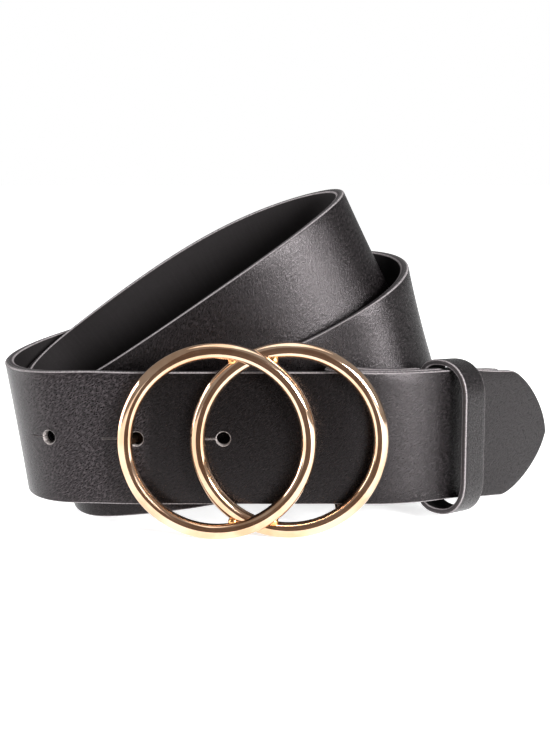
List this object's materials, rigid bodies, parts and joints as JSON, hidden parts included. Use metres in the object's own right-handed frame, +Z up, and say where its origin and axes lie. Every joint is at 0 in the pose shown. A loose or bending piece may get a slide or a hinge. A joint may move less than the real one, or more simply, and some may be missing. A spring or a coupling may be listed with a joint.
{
  "type": "belt with double ring buckle",
  "caption": "Smooth leather belt, coiled and standing on edge, fastened at the front by a buckle of two overlapping round rings, with a keeper loop and punched holes.",
  "frame": {"origin": "on the surface it stands on, under the middle of its bounding box", "axes": "+X along the coil's length towards the tip, +Y away from the buckle's front, +Z up"},
  "size_m": [0.146, 0.0602, 0.0863],
  "materials": {
    "strap_leather": "smooth near-black leather with a fine grain, edges painted dark grey",
    "buckle_metal": "polished pale rose gold plating",
    "keeper_leather": "smooth near-black leather"
  },
  "bodies": {
    "root": {"strap": "strap_leather", "double_ring_buckle": "buckle_metal", "keeper_loop": "keeper_leather"}
  },
  "joints": []
}
